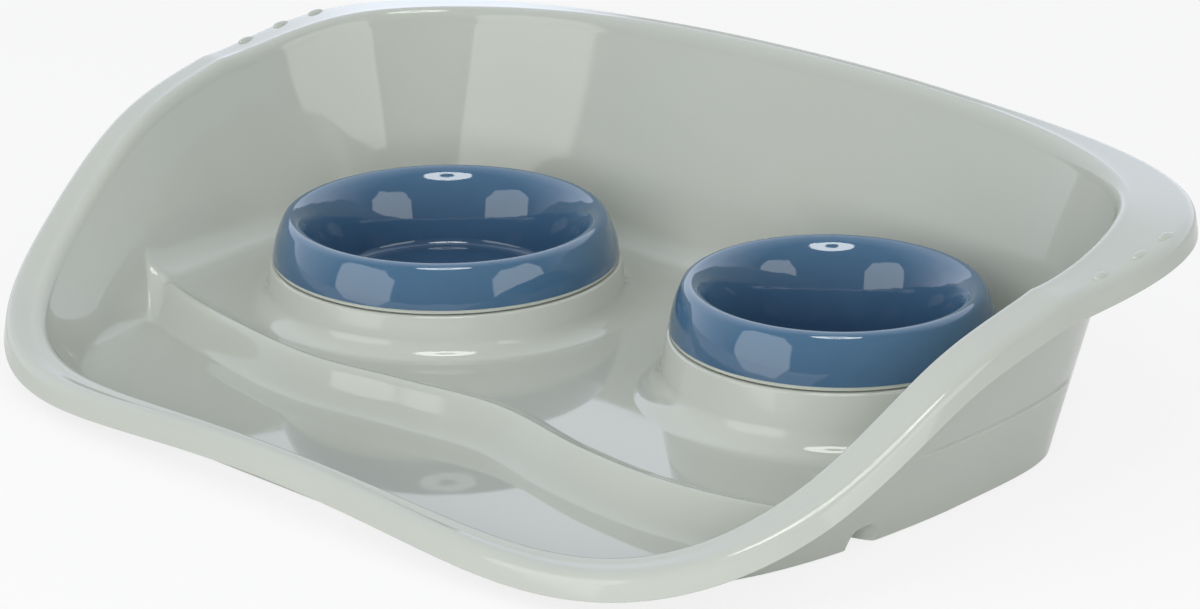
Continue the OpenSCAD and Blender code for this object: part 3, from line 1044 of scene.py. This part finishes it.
lamp("softbox_left", "RECTANGLE", -52, 42, (1.0, 1.0), 2.0)
lamp("softbox_right", "RECTANGLE", 52, 42, (1.0, 1.0), 1.0)
lamp("round_lamp", "DISK", 0, 62, (0.5, 0.5), 2.5)
lamp("front_fill", "RECTANGLE", -14, 14, (1.6, 0.9), 4.1)

# %% Lamps as mirrored rays find them
# Each softbox: bearing, height, half its width and half its height, all in degrees, and its strength.
softboxes = ((-54, 11, 20, 17, 2.8), (52, 11, 18, 17, 2.8))
ring_height = 62
ring_radius = 9
ring_half = 4
ring_strength = 12
edge_soft = 1.2
corner_cut = 1.6
corner_soft = 0.08


# %% Brightness of the lamps in a direction
def off_middle(tree, angle, middle, half):
    """How far an angle lies from the middle of a lamp that reaches half to each side: 1 at its edge."""
    away = add(tree, "ShaderNodeMath", {"operation": "SUBTRACT", 1: math.radians(middle)}, {0: angle})
    size = add(tree, "ShaderNodeMath", {"operation": "ABSOLUTE"}, {0: away})
    return add(tree, "ShaderNodeMath", {"operation": "DIVIDE", 1: math.radians(half)}, {0: size})


def lamps_seen(tree, direction):
    """How bright the lamps are in a direction: a ring above the camera, and two softboxes with cut corners."""
    parts = add(tree, "ShaderNodeSeparateXYZ", {}, {0: direction})
    turn = add(tree, "ShaderNodeMath", {"operation": "ARCTAN2"}, {0: parts.outputs["Y"], 1: parts.outputs["X"]})
    rise = add(tree, "ShaderNodeMath", {"operation": "ARCSINE"}, {0: parts.outputs["Z"]})
    dot = add(tree, "ShaderNodeVectorMath", {"operation": "DOT_PRODUCT", 1: towards(0, ring_height)},
              {0: direction})
    away = add(tree, "ShaderNodeMath", {"operation": "ARCCOSINE"}, {0: dot.outputs["Value"]})
    total = add(tree, "ShaderNodeMapRange",
                {"From Min": 1 + edge_soft / ring_half, "From Max": 1, "To Max": ring_strength},
                {"Value": off_middle(tree, away, ring_radius, ring_half)})
    for bearing, height, half_wide, half_high, strength in softboxes:
        across = off_middle(tree, turn, facing + bearing, half_wide)
        along = off_middle(tree, rise, height, half_high)
        in_width = add(tree, "ShaderNodeMapRange", {"From Min": 1 + edge_soft / half_wide, "From Max": 1},
                       {"Value": across})
        in_height = add(tree, "ShaderNodeMapRange", {"From Min": 1 + edge_soft / half_high, "From Max": 1},
                        {"Value": along})
        corner = add(tree, "ShaderNodeMath", {"operation": "ADD"}, {0: across, 1: along})
        in_corner = add(tree, "ShaderNodeMapRange",
                        {"From Min": corner_cut + corner_soft, "From Max": corner_cut, "To Max": strength},
                        {"Value": corner})
        mask = add(tree, "ShaderNodeMath", {"operation": "MULTIPLY"}, {0: in_width, 1: in_height})
        total = add(tree, "ShaderNodeMath", {"operation": "MULTIPLY_ADD"}, {0: mask, 1: in_corner, 2: total})
    return total


# %% Floor
floor_radius = 6
floor_glow_seen = 0.8
floor_glow_mirrored = 0.6

clear_selection()
bpy.ops.mesh.primitive_circle_add(vertices=96, radius=floor_radius, fill_type="NGON")
floor = bpy.context.object
floor.name = "studio_floor"
material, tree, output, _ = new_material("pale_studio_floor")
rays = add(tree, "ShaderNodeLightPath", {})
matt = add(tree, "ShaderNodeBsdfDiffuse", {"Color": colour("#F6F6F6")})
arriving = add(tree, "ShaderNodeNewGeometry", {})
ahead = add(tree, "ShaderNodeVectorMath", {"operation": "SCALE", "Scale": -1.0}, {0: arriving.outputs["Incoming"]})
glow = add(tree, "ShaderNodeMath", {"operation": "MULTIPLY_ADD", 2: 1.0},
           {0: lamps_seen(tree, ahead), 1: rays.outputs["Is Glossy Ray"]})
white = add(tree, "ShaderNodeEmission", {"Color": colour("#FFFFFF")}, {"Strength": glow})
for_camera = add(tree, "ShaderNodeMath", {"operation": "MULTIPLY", 1: floor_glow_seen},
                 {0: rays.outputs["Is Camera Ray"]})
for_gloss = add(tree, "ShaderNodeMath", {"operation": "MULTIPLY", 1: floor_glow_mirrored},
                {0: rays.outputs["Is Glossy Ray"]})
share = add(tree, "ShaderNodeMath", {"operation": "MAXIMUM"}, {0: for_camera, 1: for_gloss})
both = add(tree, "ShaderNodeMixShader", {}, {0: share, 1: matt, 2: white})
tree.links.new(both.outputs["Shader"], output.inputs["Surface"])
dress(floor, material)

# %% World
backdrop_way = (-0.68, 0.733, 0.0)
backdrop_edges = (-0.3, 0.5)
backdrop_strengths = (0.3, 2.0)
room_strength = 0.62

world = bpy.data.worlds.new("studio")
bpy.context.scene.world = world
world.use_nodes = True
tree = world.node_tree
tree.nodes.clear()
rays = add(tree, "ShaderNodeLightPath", {})
around = add(tree, "ShaderNodeTexCoord", {})
away = add(tree, "ShaderNodeVectorMath", {"operation": "DOT_PRODUCT", 1: backdrop_way},
           {0: around.outputs["Generated"]})
backdrop = add(tree, "ShaderNodeMapRange", {"From Min": backdrop_edges[0], "From Max": backdrop_edges[1],
                                            "To Min": backdrop_strengths[0], "To Max": backdrop_strengths[1]},
               {"Value": away.outputs["Value"]})
room = add(tree, "ShaderNodeBackground", {"Color": colour("#F4F6F8"), "Strength": room_strength})
pale = add(tree, "ShaderNodeBackground", {"Color": colour("#EAF1FF")}, {"Strength": backdrop.outputs["Result"]})
bright = add(tree, "ShaderNodeBackground", {"Color": colour("#FBFCF8")},
             {"Strength": lamps_seen(tree, around.outputs["Generated"])})
mirrored = add(tree, "ShaderNodeAddShader", {}, {0: pale.outputs["Background"], 1: bright.outputs["Background"]})
plain = add(tree, "ShaderNodeBackground", {"Color": colour("#FFFFFF"), "Strength": 1.0})
in_gloss = add(tree, "ShaderNodeMixShader", {}, {0: rays.outputs["Is Glossy Ray"], 1: room.outputs["Background"],
                                                 2: mirrored.outputs["Shader"]})
for_camera = add(tree, "ShaderNodeMixShader", {}, {0: rays.outputs["Is Camera Ray"], 1: in_gloss.outputs["Shader"],
                                                   2: plain.outputs["Background"]})
output = add(tree, "ShaderNodeOutputWorld", {}, {"Surface": for_camera.outputs["Shader"]})
bpy.context.scene.view_settings.view_transform = "Standard"
